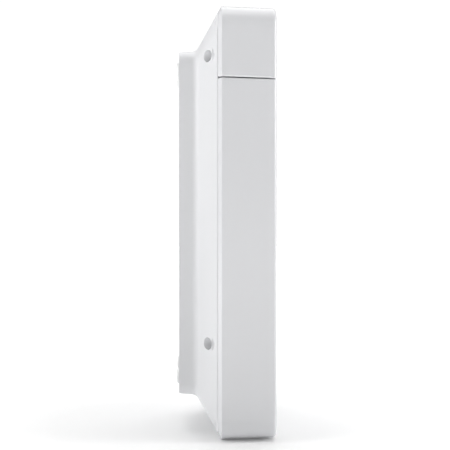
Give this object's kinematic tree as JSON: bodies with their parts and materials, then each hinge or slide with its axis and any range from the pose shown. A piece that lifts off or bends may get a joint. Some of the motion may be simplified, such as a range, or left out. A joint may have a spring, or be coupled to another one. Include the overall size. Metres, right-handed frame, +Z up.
{
  "type": "video doorbell",
  "caption": "Tall white wall-mounted video door station on a flared rear housing, with camera window, motion sensor, lit call button and speaker grille.",
  "frame": {"origin": "middle of the four wall-screw holes, on the back face of the wall bracket", "axes": "+Z up, +Y towards the wall, the front faces -Y, X runs across the front"},
  "size_m": [0.075, 0.036, 0.157],
  "materials": {
    "black_cloth": "woven acoustic cloth",
    "black_foam": "closed-cell foam",
    "black_plastic": "matt",
    "black_rubber": "matt",
    "brass": "turned",
    "can_metal": "plated can",
    "capacitor_can": "drawn can",
    "circuit_board": "solder mask over glass fibre",
    "circuit_board_black": "black solder mask",
    "clear_glass": "polished",
    "clear_rubber": "translucent silicone",
    "cone_film": "formed film",
    "dark_print": "raised print",
    "dark_window": "polished, passes infra-red",
    "diffuser": "opal polycarbonate",
    "ferrite": "sintered",
    "green_plastic": "matt",
    "grey_plastic": "matt",
    "grey_rubber": "matt",
    "led_clear": "clear epoxy",
    "milky_lens": "milky polyethylene",
    "pale_rubber": "matt",
    "red_plastic": "matt",
    "relay_case": "moulded case",
    "ribbon_film": "polyimide film",
    "screw_steel": "stainless",
    "sensor_glass": "cover glass",
    "socket_plastic": "nylon",
    "spring_steel": "bright wire",
    "tinned_steel": "tinned",
    "white_button": "soft gloss",
    "white_cover": "satin white moulding",
    "white_rear": "fine matt moulding",
    "zinc_steel": "zinc plated"
  },
  "bodies": {
    "housing": {"antenna": "circuit_board_black", "board_socket": "socket_plastic", "board_spacers": "brass", "button_guide": "grey_plastic", "button_seal": "clear_rubber", "button_spring": "spring_steel", "cable_grommet": "black_rubber", "camera_board": "circuit_board", "camera_screws": "screw_steel", "camera_socket": "socket_plastic", "camera_window": "dark_window", "capacitors": "capacitor_can", "case_screws": "screw_steel", "flat_cable": "ribbon_film", "front_lens": "clear_glass", "housing_gasket": "grey_rubber", "image_sensor": "sensor_glass", "ir_leds": "led_clear", "led_board": "circuit_board_black", "lens_baffle": "black_rubber", "lens_barrel": "black_plastic", "lens_cover": "clear_glass", "lens_holder": "black_plastic", "light_ring": "diffuser", "locking_screw": "screw_steel", "main_board": "circuit_board", "main_board_screws": "screw_steel", "main_cover": "white_cover", "microphone": "can_metal", "microphone_boot": "black_rubber", "motion_lens": "milky_lens", "motion_sensor": "can_metal", "motion_shroud": "black_plastic", "power_coil": "ferrite", "processor_shield": "tinned_steel", "radio_module": "tinned_steel", "rear_housing": "white_rear", "relay": "relay_case", "ring_leds": "led_clear", "speaker_clamp": "zinc_steel", "speaker_cone": "cone_film", "speaker_frame": "black_plastic", "speaker_gasket": "black_foam", "speaker_magnet": "can_metal", "speaker_mesh": "black_cloth", "speaker_screws": "screw_steel", "tact_switch": "black_plastic", "tamper_switch": "black_plastic", "terminal_block": "green_plastic", "terminal_screws": "brass", "upper_cover": "white_cover", "wall_bracket": "zinc_steel", "wall_pads": "pale_rubber"},
    "call_button": {"call_button": "white_button", "button_symbol": "dark_print", "button_clip": "screw_steel", "tact_plunger": "red_plastic"},
    "tamper_plunger": {"tamper_plunger": "grey_plastic"}
  },
  "joints": [
    {"name": "call_button_press", "type": "slide", "parent": "housing", "child": "call_button", "axis": [0, 1, 0], "range_m": [0, 0.0006], "stiffness_N_per_m": 2500, "springref_m": -0.0004, "deforming": ["button_spring", "button_seal"]},
    {"name": "tamper_plunger_press", "type": "slide", "parent": "housing", "child": "tamper_plunger", "axis": [0, -1, 0], "range_m": [0, 0.001], "stiffness_N_per_m": 500, "springref_m": -0.0004}
  ]
}
